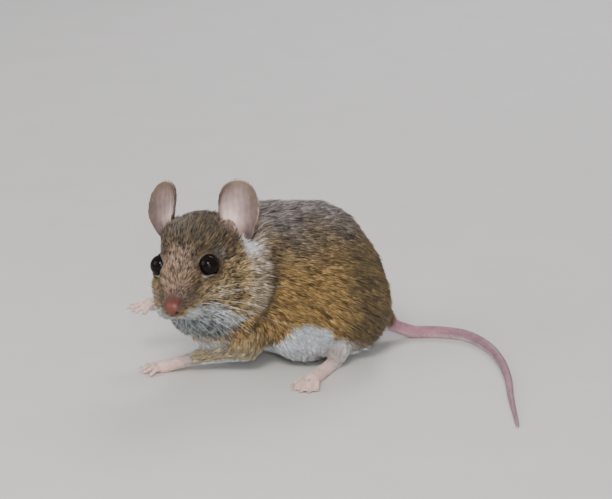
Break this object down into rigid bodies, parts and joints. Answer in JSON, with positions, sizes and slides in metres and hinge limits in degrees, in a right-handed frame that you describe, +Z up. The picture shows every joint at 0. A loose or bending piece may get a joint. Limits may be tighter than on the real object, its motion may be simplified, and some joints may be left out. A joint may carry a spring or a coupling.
{
  "type": "field mouse figure",
  "caption": "Life-size field mouse crouching with its head turned to its left, right forepaw lifted, large upright ears and a long tail curled to one side on the floor.",
  "frame": {"origin": "centre of the bounding box in plan, on the floor the mouse stands on", "axes": "+Z up; the rump and tail are toward +X and the nose and forepaws toward -X; the mouse's left side faces -Y"},
  "size_m": [0.0884, 0.0668, 0.0446],
  "materials": {
    "coat": "short dense fur, brown above and white below",
    "bare_skin": "thin pinkish skin with very short sparse hair",
    "eye": "wet, nearly black"
  },
  "bodies": {
    "root": {"trunk": "coat", "neck": "coat", "head": "coat", "foreleg_left": "coat", "foreleg_right": "coat", "hindleg_left": "coat", "hindleg_right": "coat", "ear_left": "bare_skin", "ear_right": "bare_skin", "tail_base": "bare_skin", "tail_middle": "bare_skin", "tail_tip": "bare_skin", "eye_left": "eye", "eye_right": "eye"}
  },
  "joints": []
}
